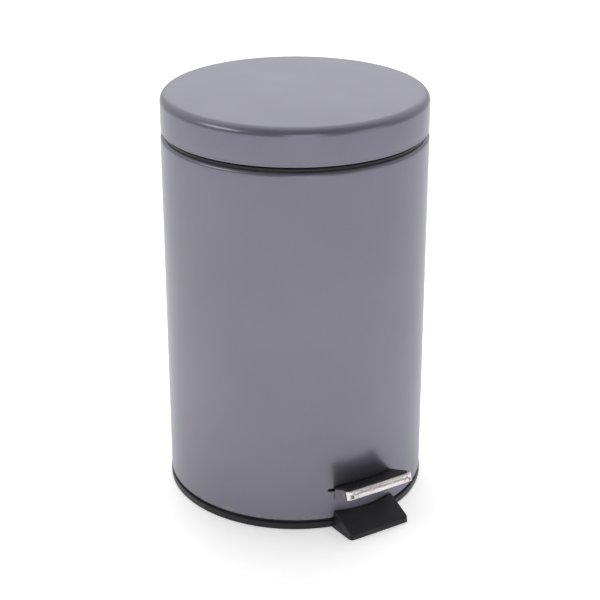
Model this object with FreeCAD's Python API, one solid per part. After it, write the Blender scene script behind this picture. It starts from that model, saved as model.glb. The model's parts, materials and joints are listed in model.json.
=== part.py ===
import FreeCAD, Part
import math
import os

# Pedal bin with a painted steel body, a hinged steel lid and a lift-out plastic bucket.
# Millimetres. The origin is on the floor, on the can's axis. +Z is up and the pedal faces -Y.

V = FreeCAD.Vector
X_AXIS = V(1, 0, 0)
Z_AXIS = V(0, 0, 1)
FAR = 400.0

# Overall size
BODY_R = 125.0
TOTAL_H = 395.0
SHEET = 0.6
LID_R = 124.7
LID_LOW = 359.8
LID_ROUND = 8.0

# Body shell
BODY_LOW = 9.4
BODY_TOP = 355.2
BODY_ROUND = 4.0
RIM_INNER_R = 120.7
FLANGE_INNER_R = 113.0

# Base ring, base pan and screws
BASE_R = 125.5
SKIRT_IN_R = 121.6
SKIRT_TOP = 7.0
NECK_R = 123.4
WEB_IN_R = 111.0
PAN_R = 123.9
PAN_BEAD_R = 70.0
SCREW_R = 2.0
SCREW_CIRCLE_R = 117.0
SCREW_ANGLES = (45, 135, 225, 315)

# Anti-tip foot
FOOT_BACK_R = 126.2
FOOT_FRONT = 151.5
FOOT_TOP = 16.5
FOOT_TOP_DEPTH = 124.5
FOOT_LIP = 5.6
FOOT_HALF_BACK = 34.6
FOOT_HALF_FRONT = 33.0
FOOT_DRAFT = 0.127
TONGUE_HALF = 20.0
TONGUE_LOW = 1.0
TONGUE_TOP = 4.0
FOOT_SCREW_X = 12.0
FOOT_SCREW_Y = -116.0

# Pedal, in its own tilted plane: u runs outwards from the wall, w is square to the tread
PEDAL_TILT = 22.2
PEDAL_ROOT_Y = 120.5
PEDAL_ROOT_Z = 41.1
PEDAL_HALF = 33.5
PEDAL_REACH = 32.2
FRONT_BOW = 1.0
BOW_R = 700.0
CORNER_R = 4.5
PEDAL_STEEL = 1.2
PEDAL_WALL_GAP = 0.6
BULGE_R = 3.6
PAD_THICK = 1.6
PAD_HALF = 33.1
PAD_REACH = 31.7
PAD_CORNER_R = 5.5
FLANGE_ROOT_Z = 29.2
FLANGE_SLOPE = 0.49
NECK_HALF = 30.6
NECK_TOP = 38.6
WINDOW_HALF = 31.6
WINDOW_LOW = 30.0
WINDOW_TOP = 42.9
SLIT_HALF = 38.0
SLIT_LOW = 38.7
SLIT_TOP = 41.4

# Lever, pivot and push rod
PIVOT_Y = -62.0
PIVOT_Z = 31.0
PIVOT_R = 2.5
RUNNING_GAP = 0.05
PEDAL_TRAVEL = 8.0
LEVER_HALF = 9.0
LEVER_STEEL = 1.5
EYE_R = 2.3
EYE_BOSS_R = 5.0
ROD_X = -12.0
ROD_Y = 115.5
ROD_R = 1.75
ROD_BEND_R = 4.0

# Lid hinge and crank
HINGE_Y = 130.5
HINGE_Z = 358.0
HINGE_PIN_R = 1.6
KNUCKLE_R = 3.4
KNUCKLE_HALF = 8.6
LUG_IN = 8.9
LUG_OUT = 17.2
LEAF = 1.4
CRANK_HALF = 1.1
CRANK_SLOT_R = 2.7
CRANK_EDGE = 1.5

# Collar, liner, bucket and bail
COLLAR_R = 122.2
COLLAR_IN_R = 111.0
COLLAR_TOP = 358.4
LINER_IN_R = 117.2
BUCKET_LOW = 56.0
BUCKET_FOOT_R = 104.0
BUCKET_MOUTH_R = 110.2
BUCKET_WALL = 1.8
BUCKET_RIM_R = 113.5
BUCKET_RIM_LOW = 358.7
BUCKET_RIM_TOP = 360.5
EAR_IN = 109.4
EAR_OUT = 111.5
BAIL_PIVOT_Z = 364.4
BAIL_R = 113.4
BAIL_WIRE_R = 1.4

# Worked out from the sizes above
ROD_LIFT_HALF = (ROD_Y - PIVOT_Y) * math.tan(math.radians(PEDAL_TRAVEL / 2))
EYE_Z = PIVOT_Z - ROD_LIFT_HALF
CRANK_Z = HINGE_Z - ROD_LIFT_HALF
CRANK_ARM = HINGE_Y - ROD_Y
CRANK_ANGLE = math.degrees(math.atan2(ROD_LIFT_HALF, CRANK_ARM))


def on_xz(a, b):
    return V(a, 0, b)


def on_yz(a, b):
    return V(0, a, b)


def on_xy(a, b):
    return V(a, b, 0)


def square(*points):
    """Corners with no rounding."""
    return [(a, b, 0) for a, b in points]


def rounded_face(corners, place):
    """The face inside a closed outline. A corner is (a, b, radius), and place turns a and b into a point.

    A corner with a negative radius gets a flat bevel that starts that far from it.
    """
    count = len(corners)
    arcs = []
    for i, (a, b, radius) in enumerate(corners):
        here = place(a, b)
        before = place(*corners[i - 1][:2]) - here
        after = place(*corners[(i + 1) % count][:2]) - here
        if radius == 0:
            arcs.append((here, None, here))
            continue
        before.normalize()
        after.normalize()
        if radius < 0:
            arcs.append((here - before * radius, None, here - after * radius))
            continue
        half = before.getAngle(after) / 2
        inwards = before + after
        inwards.normalize()
        reach = radius / math.tan(half)
        middle = here + inwards * (radius / math.sin(half) - radius)
        arcs.append((here + before * reach, middle, here + after * reach))
    edges = []
    for i, (start, middle, end) in enumerate(arcs):
        if middle is not None:
            edges.append(Part.Arc(start, middle, end).toShape())
        elif start.distanceToPoint(end) > 1e-6:
            edges.append(Part.LineSegment(start, end).toShape())
        next_start = arcs[(i + 1) % count][0]
        if end.distanceToPoint(next_start) > 1e-6:
            edges.append(Part.LineSegment(end, next_start).toShape())
    return Part.Face(Part.Wire(edges))


def turned(corners):
    """A ring or disc: an outline of (radius, z, rounding) turned about the can's axis."""
    return rounded_face(corners, on_xz).revolve(V(0, 0, 0), Z_AXIS, 360)


def side_slab(corners, x0, x1):
    """An outline in the YZ plane, solid from x0 to x1."""
    slab = rounded_face(corners, on_yz).extrude(V(x1 - x0, 0, 0))
    slab.translate(V(x0, 0, 0))
    return slab


def plan_slab(corners, z0, z1):
    """An outline in the XY plane, solid from z0 to z1."""
    slab = rounded_face(corners, on_xy).extrude(V(0, 0, z1 - z0))
    slab.translate(V(0, 0, z0))
    return slab


def block(x0, x1, y0, y1, z0, z1):
    return Part.makeBox(x1 - x0, y1 - y0, z1 - z0, V(x0, y0, z0))


def post(x, y, z0, z1, r):
    return Part.makeCylinder(r, z1 - z0, V(x, y, z0), Z_AXIS)


def rod_x(y, z, x0, x1, r):
    return Part.makeCylinder(r, x1 - x0, V(x0, y, z), X_AXIS)


def tube(r_in, r_out, z0, z1):
    return post(0, 0, z0, z1, r_out).cut(post(0, 0, z0, z1, r_in))


def wall_patch(r_in, r_out, half, z0, z1, side):
    """A piece of a tube's wall, half wide each way about the YZ plane, at the front (-1) or rear (+1)."""
    near = min(0, side * FAR)
    return tube(r_in, r_out, z0, z1).common(block(-half, half, near, near + FAR, z0, z1))


def polar(r, degrees):
    angle = math.radians(degrees)
    return r * math.cos(angle), r * math.sin(angle)


def radial_pin(degrees, r_in, r_out, z, r):
    """A round bar that points outwards from the can's axis."""
    x, y = polar(r_in, degrees)
    return Part.makeCylinder(r, r_out - r_in, V(x, y, z), V(x, y, 0))


def radial_rivet(degrees, r_in, r_out, z, r):
    """A rivet through the wall, with a domed head outside and a flat tail inside."""
    x, y = polar(r_out, degrees)
    head = Part.makeCone(2.0 * r, 1.3 * r, 0.7 * r, V(x, y, z), V(x, y, 0))
    tail = radial_pin(degrees, r_in - 0.9, r_in - 0.1, z, 1.6 * r)
    return radial_pin(degrees, r_in - 0.2, r_out + 0.1, z, r).fuse([head, tail]).removeSplitter()


def upright_rivet(x, y, z0, z1, r, head=0.9):
    """A rivet with a coned head on top and a flat tail below."""
    top = Part.makeCone(1.8 * r, 1.1 * r, head, V(x, y, z1))
    tail = post(x, y, z0 - head, z0, 1.6 * r)
    return post(x, y, z0, z1, r).fuse([top, tail]).removeSplitter()


def bent_wire(edges, wire_r):
    """A round wire along joined edges."""
    path = Part.Wire(edges)
    first = path.Edges[0]
    start = first.valueAt(first.FirstParameter)
    circle = Part.Circle(start, first.tangentAt(first.FirstParameter), wire_r)
    return path.makePipeShell([Part.Wire(circle.toShape())], True, False)


def body_shell():
    low_in = BODY_LOW + SHEET
    top_in = BODY_TOP - SHEET
    shell = turned([
        (BODY_R, BODY_LOW, 1.2), (BODY_R, BODY_TOP, BODY_ROUND), (RIM_INNER_R, BODY_TOP, 0),
        (RIM_INNER_R, top_in, 0), (BODY_R - SHEET, top_in, BODY_ROUND - SHEET),
        (BODY_R - SHEET, low_in, 1.2 - SHEET), (FLANGE_INNER_R, low_in, 0), (FLANGE_INNER_R, BODY_LOW, 0),
    ])
    cuts = [
        front_opening(WINDOW_HALF, WINDOW_LOW, WINDOW_TOP, 1.3),
        front_opening(SLIT_HALF, SLIT_LOW, SLIT_TOP, 1.3),
        block(-0.3, 0.3, BODY_R - 0.3, BODY_R + 1, BODY_LOW + 4, 318),
        rod_notch(),
    ]
    cuts += [post(x, y, BODY_LOW - 1, low_in + 1, SCREW_R + 0.1) for x, y in base_screw_places()]
    cuts += [radial_pin(a, BODY_R - 4, BODY_R + 4, z, r) for a, z, r in body_rivet_places()]
    return shell.cut(cuts)


def front_opening(half, low, top, corner):
    outline = [(-half, low, corner), (half, low, corner), (half, top, corner), (-half, top, corner)]
    opening = rounded_face(outline, on_xz).extrude(V(0, -40, 0))
    opening.translate(V(0, -100, 0))
    return opening


def rod_notch():
    """Room in the rim for the push rod and the crank."""
    return block(ROD_X - 4.2, 6.2, 105, BODY_R - SHEET - 0.6, 340, 361)


def base_screw_places():
    return [polar(SCREW_CIRCLE_R, a) for a in SCREW_ANGLES]


def foot_screw_places():
    return [(-FOOT_SCREW_X, FOOT_SCREW_Y), (FOOT_SCREW_X, FOOT_SCREW_Y)]


HINGE_RIVETS = ((87.4, 333, 1.6), (92.6, 333, 1.6))
GUIDE_RIVETS = ((95.9, 243, 1.2), (95.9, 259, 1.2))
LEAF_RIVETS = ((84.2, 379, 1.6), (95.8, 379, 1.6))


def body_rivet_places():
    return HINGE_RIVETS + GUIDE_RIVETS


def base_ring():
    """Black plastic ring under the body: a skirt on the floor, a recessed neck and a screwed web."""
    ring = turned([
        (BASE_R, 0, 1.0), (BASE_R, SKIRT_TOP, 0.7), (NECK_R, SKIRT_TOP, 0), (NECK_R, BODY_LOW, 0),
        (WEB_IN_R, BODY_LOW, 0), (WEB_IN_R, SKIRT_TOP - 2.5, -0.4), (WEB_IN_R + 1.6, SKIRT_TOP - 2.5, -0.4),
        (WEB_IN_R + 1.6, SKIRT_TOP, 0), (SKIRT_IN_R, SKIRT_TOP, 0), (SKIRT_IN_R, 0, -0.5),
    ])
    ribs = []
    for k in range(24):
        rib = block(WEB_IN_R + 1, SKIRT_IN_R + 1, -0.7, 0.7, 3.0, SKIRT_TOP + 0.5)
        rib.rotate(V(0, 0, 0), Z_AXIS, 7.5 + 15 * k)
        if abs(7.5 + 15 * k - 270) > 15:
            ribs.append(rib)
    ring = ring.fuse(ribs).removeSplitter()
    cuts = [post(x, y, 0, BODY_LOW + 1, SCREW_R + 0.1) for x, y in base_screw_places()]
    cuts += [post(x, y, 0, BODY_LOW + 1, SCREW_R - 0.2) for x, y in foot_screw_places()]
    cuts.append(block(-TONGUE_HALF - 0.2, TONGUE_HALF + 0.2, -130, -118, -1, TONGUE_TOP + 0.2))
    return ring.cut(cuts)


def base_pan():
    """Pressed steel floor with a raised round panel."""
    low = BODY_LOW + SHEET + 0.05
    high = low + 0.8
    raised = 1.2
    pan = turned([
        (0, low + raised, 0), (PAN_BEAD_R, low + raised, 1.0), (PAN_BEAD_R + 2.0, low, 1.6),
        (PAN_R - 0.4, low, 0), (PAN_R - 0.4, high, 0), (PAN_BEAD_R + 2.0, high, 1.0),
        (PAN_BEAD_R, high + raised, 1.6), (0, high + raised, 0),
    ])
    cuts = [post(x, y, low - 1, high + 1, SCREW_R - 0.2) for x, y in base_screw_places()]
    cuts += [post(x, y, low - 1, high + 3, 1.5) for x, y in bracket_rivet_places()]
    return pan.cut(cuts)


def base_screws():
    """Pan-head screws, driven from below through the ring and the body's flange into the pan."""
    return Part.makeCompound([screw(x, y, SKIRT_TOP, 12.6) for x, y in base_screw_places()])


def screw(x, y, head_top, tip):
    head = turned_at(x, y, [
        (0, head_top - 2.2, 0), (2.6, head_top - 2.2, 0), (3.6, head_top - 1.0, 0),
        (3.6, head_top, 0), (1.79, head_top, 0), (1.79, tip - 1.2, 0), (0.6, tip, 0), (0, tip, 0),
    ])
    slots = [
        block(x - 1.8, x + 1.8, y - 0.35, y + 0.35, head_top - 3, head_top - 1.2),
        block(x - 0.35, x + 0.35, y - 1.8, y + 1.8, head_top - 3, head_top - 1.2),
    ]
    return head.cut(slots)


def turned_at(x, y, corners):
    shape = turned(corners)
    shape.translate(V(x, y, 0))
    return shape


def foot_half(y, z):
    """Half the foot's width: it narrows towards the front and with height."""
    taper = (FOOT_HALF_BACK - FOOT_HALF_FRONT) / (FOOT_FRONT - 120.0)
    return FOOT_HALF_BACK - taper * (-y - 120.0) - FOOT_DRAFT * z


def foot_section(z):
    back = -112.0
    b = foot_half(back, z)
    f = foot_half(-FOOT_FRONT, z)
    points = [V(-b, back, z), V(b, back, z), V(f, -FOOT_FRONT, z), V(-f, -FOOT_FRONT, z), V(-b, back, z)]
    return Part.makePolygon(points)


def anti_tip_foot():
    """Wedge in front of the base ring that stops the can tipping when the pedal is pressed."""
    high = FOOT_TOP + 6
    column = Part.makeLoft([foot_section(0), foot_section(high)], True, True)
    corners = [e for e in column.Edges if abs(e.CenterOfMass.y + FOOT_FRONT) < 0.1 and e.BoundBox.ZLength > 5]
    column = column.makeFillet(3.5, corners)
    slope = (FOOT_TOP - FOOT_LIP) / (FOOT_FRONT - FOOT_TOP_DEPTH)
    back = -112.0
    back_z = FOOT_TOP + slope * (FOOT_TOP_DEPTH + back)
    wedge = side_slab([
        (back, 0, 0), (-FOOT_FRONT - 0.1, 0, 0), (-FOOT_FRONT - 0.1, FOOT_LIP, 1.0), (back, back_z, 0),
    ], -40, 40)
    foot = column.common(wedge).cut(post(0, 0, -1, 40, FOOT_BACK_R))
    top_sides = [e for e in foot.Edges if is_top_side(e)]
    foot = foot.makeFillet(0.9, top_sides)
    tongue = block(-TONGUE_HALF, TONGUE_HALF, -FOOT_BACK_R - 1.5, -110.5, TONGUE_LOW, TONGUE_TOP)
    bosses = [post(x, y, TONGUE_TOP - 1, SKIRT_TOP, 3.7) for x, y in foot_screw_places()]
    foot = foot.fuse([tongue] + bosses).removeSplitter()
    holes = [post(x, y, -1, SKIRT_TOP + 1, SCREW_R + 0.1) for x, y in foot_screw_places()]
    holes += [post(x, y, -1, TONGUE_LOW + 2.3, 4.0) for x, y in foot_screw_places()]
    return foot.cut(holes)


def is_top_side(edge):
    """The long sloping edges where the foot's top meets its sides."""
    box = edge.BoundBox
    return box.YLength > 10 and box.ZLength > 5 and abs(edge.CenterOfMass.x) > 28 and edge.CenterOfMass.z > 6


def foot_screws():
    return Part.makeCompound([screw(x, y, TONGUE_LOW + 2.3, 9.3) for x, y in foot_screw_places()])


def to_tread(shape):
    """Tips a piece drawn flat at the origin up into the tread's plane."""
    shape.rotate(V(0, 0, 0), X_AXIS, -PEDAL_TILT)
    shape.translate(V(0, -PEDAL_ROOT_Y, PEDAL_ROOT_Z))
    return shape


def tread_outline(half, reach, bulge):
    """Plan of the tray: straight sides that swell into a round fold at each front corner."""
    left = [(-half, 6, 0), (-half, -reach + 12, 8), (-half - bulge, -reach + 5, CORNER_R)]
    left.append((-half - bulge * 0.4, -reach, CORNER_R))
    right = [(-x, y, r) for x, y, r in reversed(left)]
    return left + [(0, -reach - FRONT_BOW, BOW_R)] + right


def pedal_tray():
    """Chromed steel tray: tread plate, skirt on three sides and a neck through the wall."""
    outer = tread_outline(PEDAL_HALF, PEDAL_REACH, BULGE_R)
    inner = tread_outline(PEDAL_HALF - PEDAL_STEEL, PEDAL_REACH - PEDAL_STEEL, BULGE_R)
    plate = plan_slab(tread_outline(PEDAL_HALF, PEDAL_REACH, 0.6), -PEDAL_STEEL, 0)
    skirt = plan_slab(outer, -24, -0.5).cut(plan_slab(inner, -25, 0))
    skirt = to_tread(skirt)
    plate = to_tread(plate)
    low = FLANGE_ROOT_Z + FLANGE_SLOPE * (122.9 - PEDAL_ROOT_Y)
    far_low = FLANGE_ROOT_Z + FLANGE_SLOPE * (160 - PEDAL_ROOT_Y)
    keep = side_slab(square((-121.6, 60), (-121.6, 41), (-122.9, low), (-160, far_low), (-160, 60)), -50, 50)
    skirt = skirt.common(keep)
    plate = plate.common(block(-50, 50, -160, -100, 20, 60))
    plate = plate.cut(post(0, 0, 0, 60, BODY_R + PEDAL_WALL_GAP))
    return skirt.fuse([plate, pedal_neck()]).removeSplitter()


def pedal_neck():
    """Strip under the tread that runs through the wall, bent flat where the lever is riveted on."""
    tilt = math.tan(math.radians(PEDAL_TILT))
    front = PEDAL_ROOT_Z + tilt * (131 - PEDAL_ROOT_Y) - PEDAL_STEEL + 0.1
    bend = front - tilt * (131 - 119)
    low = PEDAL_STEEL
    strip = side_slab([
        (-131, front, 0), (-119, bend, 8), (-111, NECK_TOP, 8), (-80, NECK_TOP, 0), (-80, NECK_TOP - low, 0),
        (-111, NECK_TOP - low, 7), (-119, bend - low, 9), (-131, front - low - 0.06, 0),
    ], -PEDAL_HALF, PEDAL_HALF)
    plan = plan_slab([
        (-NECK_HALF, -131, 0), (-NECK_HALF, -112, 5), (-LEVER_HALF, -94, 5), (-LEVER_HALF, -80, 3),
        (LEVER_HALF, -80, 3), (LEVER_HALF, -94, 5), (NECK_HALF, -112, 5), (NECK_HALF, -131, 0),
    ], 20, 60)
    neck = strip.common(plan)
    return neck.cut([post(x, y, 20, 60, 1.5) for x, y in lever_rivet_places()])


def lever_rivet_places():
    return [(0, -101), (0, -86)]


def pedal_pad():
    """Moulded black tread pad on the tray."""
    outline = [
        (-PAD_HALF, 6, 0), (-PAD_HALF, -PAD_REACH, PAD_CORNER_R), (0, -PAD_REACH - FRONT_BOW, BOW_R),
        (PAD_HALF, -PAD_REACH, PAD_CORNER_R), (PAD_HALF, 6, 0),
    ]
    pad = to_tread(plan_slab(outline, 0.02, PAD_THICK))
    return pad.cut(post(0, 0, 0, 70, BODY_R + PEDAL_WALL_GAP + 0.2))


def lever_top(y):
    """Height of the lever's top face, which is flat under the neck and slopes to the rear."""
    flat = NECK_TOP - PEDAL_STEEL - 0.02
    rear = EYE_Z + EYE_BOSS_R
    return flat + min(1, max(0, (y + 80) / (ROD_Y + 80))) * (rear - flat)


def lever_arm():
    """Pressed channel, open below, from the pedal to the push rod."""
    web = side_slab([
        (-106, lever_top(-106), 0), (-80, lever_top(-80), 60), (ROD_Y - 4, lever_top(ROD_Y - 4), 0),
        (ROD_Y - 4, lever_top(ROD_Y - 4) - LEVER_STEEL, 0), (-80, lever_top(-80) - LEVER_STEEL, 60),
        (-106, lever_top(-106) - LEVER_STEEL, 0),
    ], -LEVER_HALF, LEVER_HALF)
    cheeks = []
    for x in (-LEVER_HALF, LEVER_HALF - LEVER_STEEL):
        cheek = side_slab([
            (-106, lever_top(-106), 0), (-80, lever_top(-80), 60), (ROD_Y, EYE_Z + EYE_BOSS_R, 0),
            (ROD_Y, EYE_Z - EYE_BOSS_R, 0), (PIVOT_Y + 12, PIVOT_Z - 7, 20), (PIVOT_Y - 6, PIVOT_Z - 7, 5),
            (-106, lever_top(-106) - 5, 2),
        ], x, x + LEVER_STEEL)
        cheeks.append(cheek)
        cheeks.append(rod_x(ROD_Y, EYE_Z, x, x + LEVER_STEEL, EYE_BOSS_R))
    arm = web.fuse(cheeks).removeSplitter()
    cuts = [
        rod_x(PIVOT_Y, PIVOT_Z, -20, 20, PIVOT_R + RUNNING_GAP),
        rod_x(ROD_Y, EYE_Z, -20, 20, EYE_R),
    ]
    cuts += [post(x, y, 20, 60, 1.5) for x, y in lever_rivet_places()]
    return arm.cut(cuts)


def lever_rivets():
    low = lever_top(-100) - LEVER_STEEL
    return Part.makeCompound([upright_rivet(x, y, low, NECK_TOP, 1.48) for x, y in lever_rivet_places()])


def bracket_rivet_places():
    return [(-16.5, PIVOT_Y), (16.5, PIVOT_Y)]


def bracket_low():
    return BODY_LOW + SHEET + 0.05 + 0.8 + 1.2 + 0.02


def pivot_bracket():
    """Steel U bracket on the pan that carries the pedal's pivot pin."""
    z = bracket_low()
    inner = LEVER_HALF + 0.6
    outer = inner + 1.5
    sole = plan_slab([
        (-22, PIVOT_Y - 9, 2), (22, PIVOT_Y - 9, 2), (22, PIVOT_Y + 9, 2), (-22, PIVOT_Y + 9, 2),
    ], z, z + 1.5)
    ears = []
    for x in (-outer, inner):
        ears.append(side_slab([
            (PIVOT_Y - 9, z, 0), (PIVOT_Y - 6, PIVOT_Z + 5.5, 5), (PIVOT_Y + 6, PIVOT_Z + 5.5, 5), (PIVOT_Y + 9, z, 0),
        ], x, x + 1.5))
    bracket = sole.fuse(ears).removeSplitter()
    cuts = [rod_x(PIVOT_Y, PIVOT_Z, -30, 30, PIVOT_R + 0.02)]
    cuts += [post(x, y, 0, 30, 1.5) for x, y in bracket_rivet_places()]
    return bracket.cut(cuts)


def bracket_rivets():
    top = bracket_low() + 1.5
    low = BODY_LOW + SHEET + 0.05 + 1.2
    return Part.makeCompound([upright_rivet(x, y, low, top, 1.48) for x, y in bracket_rivet_places()])


def pivot_pin():
    outer = LEVER_HALF + 2.1
    head = rod_x(PIVOT_Y, PIVOT_Z, -outer - 1.8, -outer - 0.02, 4.2)
    return rod_x(PIVOT_Y, PIVOT_Z, -outer - 0.5, outer + 3, PIVOT_R).fuse(head).removeSplitter()


def push_washer(y, z, x, r):
    """Spring washer pushed on to the end of a pin or a wire."""
    return rod_x(y, z, x, x + 0.8, 2.2 * r).cut(rod_x(y, z, x - 1, x + 2, r))


def pin_washer():
    return push_washer(PIVOT_Y, PIVOT_Z, LEVER_HALF + 2.15, PIVOT_R)


def push_rod():
    """Steel wire with a hook at each end: the lower one in the lever, the upper one in the crank."""
    b = ROD_BEND_R
    bend = b * (1 - math.sqrt(0.5))
    low_end = LEVER_HALF + 3
    high_end = CRANK_HALF + 3
    corner_low = V(ROD_X, ROD_Y, EYE_Z)
    corner_high = V(ROD_X, ROD_Y, CRANK_Z)
    edges = [
        Part.LineSegment(V(low_end, ROD_Y, EYE_Z), corner_low + V(b, 0, 0)).toShape(),
        Part.Arc(corner_low + V(b, 0, 0), corner_low + V(bend, 0, bend), corner_low + V(0, 0, b)).toShape(),
        Part.LineSegment(corner_low + V(0, 0, b), corner_high - V(0, 0, b)).toShape(),
        Part.Arc(corner_high - V(0, 0, b), corner_high + V(bend, 0, -bend), corner_high + V(b, 0, 0)).toShape(),
        Part.LineSegment(corner_high + V(b, 0, 0), V(high_end, ROD_Y, CRANK_Z)).toShape(),
    ]
    return bent_wire(edges, ROD_R)


def rod_washers():
    return Part.makeCompound([
        push_washer(ROD_Y, EYE_Z, LEVER_HALF + 0.6, ROD_R),
        push_washer(ROD_Y, CRANK_Z, CRANK_HALF + 0.5, ROD_R),
    ])


def rod_guide():
    """Plastic guide riveted inside the rear wall, with a hole that the push rod slides in."""
    shell_in = BODY_R - SHEET - 0.05
    foot = tube(shell_in - 2.2, shell_in, 238, 264).common(block(ROD_X - 7, ROD_X + 7, 90, 130, 238, 264))
    arm = tube(ROD_Y - 3, shell_in - 1, 248, 254).common(block(ROD_X - 5, ROD_X + 5, 90, 130, 248, 254))
    nose = post(ROD_X, ROD_Y, 248, 254, ROD_R + 2.0)
    guide = foot.fuse([arm, nose]).removeSplitter()
    cuts = [post(ROD_X, ROD_Y, 230, 270, ROD_R + RUNNING_GAP)]
    cuts += [radial_pin(a, BODY_R - 8, BODY_R, z, r) for a, z, r in GUIDE_RIVETS]
    return guide.cut(cuts)


def guide_rivets():
    r_in = BODY_R - SHEET - 2.3
    return Part.makeCompound([radial_rivet(a, r_in, BODY_R, z, r - 0.02) for a, z, r in GUIDE_RIVETS])


def rim_collar():
    """Black plastic ring in the mouth of the body; the bucket's rim rests on it."""
    collar = turned([
        (COLLAR_R, BODY_TOP + 0.05, 0), (COLLAR_R, COLLAR_TOP, -0.5), (COLLAR_IN_R, COLLAR_TOP, -0.4),
        (COLLAR_IN_R, 345, -0.3), (COLLAR_IN_R + 1.5, 345, -0.3), (COLLAR_IN_R + 1.5, BODY_TOP - 1.5, 0),
        (RIM_INNER_R - 1.6, BODY_TOP - 1.5, 0), (RIM_INNER_R - 1.6, BODY_TOP - 6, 0),
        (RIM_INNER_R - 0.1, BODY_TOP - 6, -0.3),
        (RIM_INNER_R - 0.1, BODY_TOP + 0.05, 0),
    ])
    collar.rotate(V(0, 0, 0), Z_AXIS, 90)
    return collar.cut(block(ROD_X - 4.2, 6.2, 105, 130, 340, 361))


def lid_shell():
    hem_in = LID_R - 2.2
    cap = turned([
        (0, TOTAL_H, 0), (LID_R, TOTAL_H, LID_ROUND), (LID_R, LID_LOW, -0.4), (hem_in, LID_LOW, -0.4),
        (hem_in, LID_LOW + 1.3, 0), (LID_R - SHEET, LID_LOW + 1.3, 0),
        (LID_R - SHEET, TOTAL_H - SHEET, LID_ROUND - SHEET), (0, TOTAL_H - SHEET, 0),
    ])
    holes = [radial_pin(a, LID_R - 4, LID_R + 4, z, r) for a, z, r in LEAF_RIVETS]
    return cap.cut(holes)


def lid_liner():
    """Black plastic ring inside the lid's hem."""
    outer = LID_R - SHEET - 0.05
    low = LID_LOW + 1.35
    liner = turned([
        (outer, low, 0), (outer, low + 10, -0.4), (outer - 1.6, low + 10, -0.4), (outer - 1.6, low + 1.6, -0.6),
        (LINER_IN_R, low + 1.6, -0.4), (LINER_IN_R, low, -0.4),
    ])
    return liner.cut(block(-19.5, 19.5, 100, 130, 350, 390))


def bumper_angles():
    return (-90, -15, 195)


def lid_bumpers():
    """Small rubber buttons under the liner that the lid comes down on."""
    buttons = []
    for angle in bumper_angles():
        x, y = polar(119.6, angle)
        buttons.append(turned_at(x, y, [
            (0, 358.75, 0), (1.7, 358.75, -0.4), (1.7, LID_LOW + 1.33, 0), (0, LID_LOW + 1.33, 0),
        ]))
    return Part.makeCompound(buttons)


def hinge_bracket():
    """Body half of the lid's hinge: a curved plate with two ears."""
    plate = wall_patch(BODY_R + 0.03, BODY_R + LEAF, LUG_OUT, 324, 350, 1)
    ears = []
    for x0, x1 in ((-LUG_OUT, -LUG_IN), (LUG_IN, LUG_OUT)):
        web = side_slab([
            (BODY_R - 2, 338, 0), (BODY_R + LEAF, 330, 4), (HINGE_Y + KNUCKLE_R, HINGE_Z - 7, 6),
            (HINGE_Y + KNUCKLE_R, HINGE_Z, 0), (HINGE_Y - KNUCKLE_R, HINGE_Z, 0), (HINGE_Y - KNUCKLE_R, 349, 0),
            (BODY_R - 2, 347, 0),
        ], x0, x1)
        ears.append(web.cut(post(0, 0, 300, 400, BODY_R + 0.03)))
        ears.append(rod_x(HINGE_Y, HINGE_Z, x0, x1, KNUCKLE_R))
    bracket = plate.fuse(ears).removeSplitter()
    cuts = [rod_x(HINGE_Y, HINGE_Z, -30, 30, HINGE_PIN_R + 0.02)]
    cuts += [radial_pin(a, BODY_R - 2, BODY_R + 6, z, r) for a, z, r in HINGE_RIVETS]
    return bracket.cut(cuts)


def hinge_leaf():
    """Lid half of the hinge: a curved plate with a knuckle between the body's ears."""
    plate = wall_patch(LID_R + 0.03, LID_R + LEAF, LUG_OUT, 366, 387, 1)
    web = side_slab([
        (BODY_R - 2, 369, 0), (BODY_R + LEAF, 372, 3), (HINGE_Y + KNUCKLE_R, HINGE_Z + 5, 5),
        (HINGE_Y + KNUCKLE_R, HINGE_Z, 0), (HINGE_Y - KNUCKLE_R, HINGE_Z, 0), (BODY_R + 0.6, 362, 1),
        (BODY_R - 2, 364, 0),
    ], -KNUCKLE_HALF, KNUCKLE_HALF)
    web = web.cut(post(0, 0, 300, 400, LID_R + 0.03))
    knuckle = rod_x(HINGE_Y, HINGE_Z, -KNUCKLE_HALF, KNUCKLE_HALF, KNUCKLE_R)
    leaf = plate.fuse([web, knuckle]).removeSplitter()
    cuts = [rod_x(HINGE_Y, HINGE_Z, -30, 30, HINGE_PIN_R + RUNNING_GAP)]
    cuts += [radial_pin(a, LID_R - 2, LID_R + 6, z, r) for a, z, r in LEAF_RIVETS]
    return leaf.cut(cuts)


def hinge_pin():
    heads = [rod_x(HINGE_Y, HINGE_Z, x, x + 1.2, 2.6) for x in (-LUG_OUT - 1.22, LUG_OUT + 0.02)]
    return rod_x(HINGE_Y, HINGE_Z, -LUG_OUT - 1, LUG_OUT + 1, HINGE_PIN_R).fuse(heads).removeSplitter()


def hinge_rivets():
    r_in = BODY_R - SHEET
    return Part.makeCompound([radial_rivet(a, r_in, BODY_R + LEAF, z, r - 0.02) for a, z, r in HINGE_RIVETS])


def leaf_rivets():
    r_in = LID_R - SHEET - LEAF
    return Part.makeCompound([radial_rivet(a, r_in, LID_R + LEAF, z, r - 0.02) for a, z, r in LEAF_RIVETS])


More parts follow.
